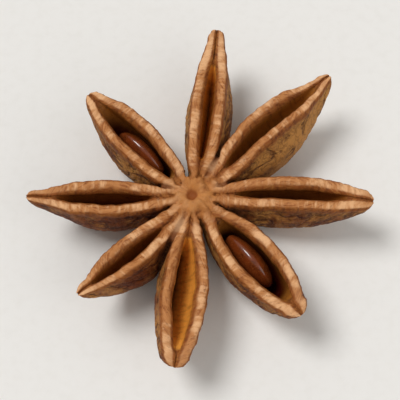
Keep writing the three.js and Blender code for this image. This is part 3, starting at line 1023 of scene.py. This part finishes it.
def seed_material(settings):
    """Glossy chestnut coat with faint clouds and a paler, dull scar at the narrow end."""
    r = Recipe("seed coat")
    scar, edge, side = r.mark("from_scar"), r.mark("edge"), r.mark("side")
    place = r.place(scar * 6, edge * 4, side * 4)
    cloud = r.clouds(place, 1.2, 4, 0.6, 0.3)
    fine = r.clouds(place, 9, 3, 0.6)
    colour = r.blend(settings.coat, settings.clouds, r.span(cloud, 0.42, 0.7, 0, 0.75))
    colour = r.blend(colour, settings.flecks, r.span(fine + 0.3 * cloud, 0.62, 0.85, 0, 0.35))
    scarred = r.span(scar, 0.05, 0.015)
    colour = r.blend(colour, settings.scar, scarred)
    roughness = r.span(scarred, 0, 1, 0.2, 0.7) + 0.1 * (fine - 0.5)
    return r.finish(colour, roughness, cloud + 0.4 * fine, 0.12, 0.08 * MM,
                    Coat_Weight=0.6, Coat_Roughness=0.08, IOR=1.5)


def floor_material(settings):
    r = Recipe("floor")
    node = r.node("ShaderNodeTexCoord")
    grain = r.clouds(node.outputs["Object"], 900, 2)
    colour = r.blend(settings.floor, settings.grain, r.span(grain, 0.4, 0.8, 0, 0.25))
    return r.finish(colour, 0.8, grain, 0.02, 0.1 * MM)


# ---- Operators ----


class POD_OT_husk(bpy.types.Operator):
    """Build the woody husk: its arms, lips and column as one piece"""

    bl_idname = "pod.husk"
    bl_label = "Husk"

    def execute(self, context):
        husk, shift = build_husk(context.scene.pod_husk)
        husk.data.materials.append(husk_material(context.scene.pod_husk))
        context.scene["pod_shift"] = shift.tolist()
        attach(husk, "root")
        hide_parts("pod")
        return {"FINISHED"}


class POD_OT_seeds(bpy.types.Operator):
    """Lay a glossy seed in each case that shows one"""

    bl_idname = "pod.seeds"
    bl_label = "Seeds"

    def execute(self, context):
        scene = context.scene
        if "pod_shift" not in scene:
            raise RuntimeError("build the husk first: the seeds lie in it")
        coat = seed_material(scene.pod_seed)
        shift = np.array(scene["pod_shift"])
        shown = [arm for arm in ARMS if arm["seed"]]
        for number, arm in enumerate(shown, 1):
            seed = build_seed(f"seed_coat_{number}", arm, scene.pod_husk, scene.pod_seed, shift)
            seed.data.materials.append(coat)
            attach(seed, "root")
            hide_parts(f"seed_{number}")
        return {"FINISHED"}


class POD_OT_stage(bpy.types.Operator):
    """Set up the floor, the lights and the camera"""

    bl_idname = "pod.stage"
    bl_label = "Stage"

    def execute(self, context):
        scene = context.scene
        settings = scene.pod_stage
        corners = [(-1, -1), (1, -1), (1, 1), (-1, 1)]
        floor = new_object(
            "floor", [(x * FLOOR_REACH, y * FLOOR_REACH, -FLOOR_DROP) for x, y in corners], [(0, 1, 2, 3)]
        )
        floor.data.materials.append(floor_material(settings))
        floor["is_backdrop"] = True

        world = bpy.data.worlds.new("studio")
        world.use_nodes = True
        background = world.node_tree.nodes["Background"]
        background.inputs["Color"].default_value = WORLD_COLOUR
        background.inputs["Strength"].default_value = WORLD_STRENGTH
        scene.world = world
        for name, source, softness, strength in LAMPS:
            light = bpy.data.lights.new(name, "SUN")
            light.energy = strength
            light.angle = math.radians(softness)
            lamp = bpy.data.objects.new(name, light)
            lamp.rotation_euler = (-Vector(source)).to_track_quat("-Z", "Y").to_euler()
            scene.collection.objects.link(lamp)

        camera = bpy.data.cameras.new("camera")
        camera.lens = settings.lens
        camera.clip_start = NEAREST_SEEN
        camera.clip_end = FARTHEST_SEEN
        eye = bpy.data.objects.new("camera", camera)
        scene.collection.objects.link(eye)
        scene.camera = eye
        low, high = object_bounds()
        middle = (low + high) / 2
        azimuth, elevation = math.radians(settings.azimuth), math.radians(settings.elevation)
        back = Vector((
            math.sin(azimuth) * math.cos(elevation),
            -math.cos(azimuth) * math.cos(elevation),
            math.sin(elevation),
        ))
        width = (high.x - low.x) / settings.fill
        eye.location = middle + back * (width * settings.lens / camera.sensor_width)
        eye.rotation_euler = (-back).to_track_quat("-Z", "Y").to_euler()

        scene.view_settings.view_transform = "Standard"
        scene.view_settings.look = "None"
        return {"FINISHED"}


class POD_PT_panel(bpy.types.Panel):
    """The pod's pieces and settings"""

    bl_idname = "POD_PT_panel"
    bl_label = "Star Anise Pod"
    bl_space_type = "VIEW_3D"
    bl_region_type = "UI"
    bl_category = "Star Anise"

    def draw(self, context):
        scene = context.scene
        for group, operator in (
            (scene.pod_husk, "pod.husk"), (scene.pod_seed, "pod.seeds"), (scene.pod_stage, "pod.stage"),
        ):
            column = self.layout.column(align=True)
            for name in group.bl_rna.properties.keys():
                if name not in ("rna_type", "name"):
                    column.prop(group, name)
            column.operator(operator)


CLASSES = (
    HuskSettings, SeedSettings, StageSettings,
    POD_OT_husk, POD_OT_seeds, POD_OT_stage, POD_PT_panel,
)


def register():
    for cls in CLASSES:
        bpy.utils.register_class(cls)
    bpy.types.Scene.pod_husk = PointerProperty(type=HuskSettings)
    bpy.types.Scene.pod_seed = PointerProperty(type=SeedSettings)
    bpy.types.Scene.pod_stage = PointerProperty(type=StageSettings)


def unregister():
    del bpy.types.Scene.pod_stage
    del bpy.types.Scene.pod_seed
    del bpy.types.Scene.pod_husk
    for cls in reversed(CLASSES):
        bpy.utils.unregister_class(cls)


def main():
    register()
    bpy.ops.pod.husk()
    bpy.ops.pod.seeds()
    bpy.ops.pod.stage()


if __name__ == "__main__":
    main()
